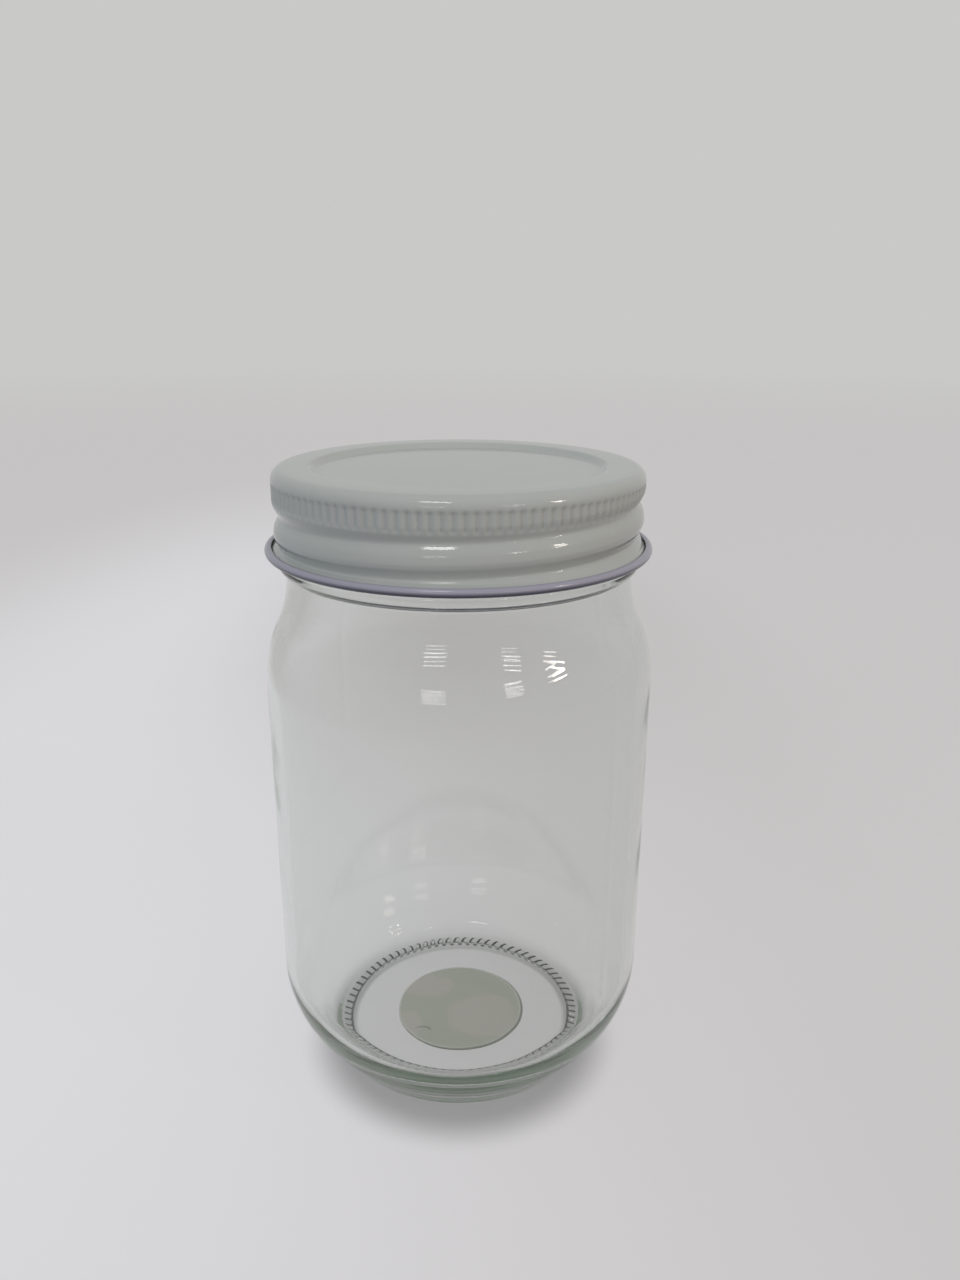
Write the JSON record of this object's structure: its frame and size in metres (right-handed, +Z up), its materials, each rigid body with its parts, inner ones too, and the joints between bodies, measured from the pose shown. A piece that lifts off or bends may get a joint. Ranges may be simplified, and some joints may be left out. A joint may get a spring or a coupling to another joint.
{
  "type": "screw-top glass jar",
  "caption": "Empty clear glass storage jar with a rounded shoulder, deep rounded heel and stippled standing ring, closed by a knurled white sheet-metal screw lid with a rolled edge.",
  "frame": {"origin": "centre of the ring that the jar stands on, in its plane", "axes": "+Z up along the jar's axis; the front is -Y"},
  "size_m": [0.0794, 0.0794, 0.1308],
  "materials": {
    "glass": "clear pressed glass, smooth",
    "lacquered_tinplate": "white lacquer, satin gloss",
    "label": "plain grey-green adhesive disc, blank"
  },
  "bodies": {
    "root": {"glass_jar": "glass", "screw_lid": "lacquered_tinplate", "base_label": "label"}
  },
  "joints": []
}
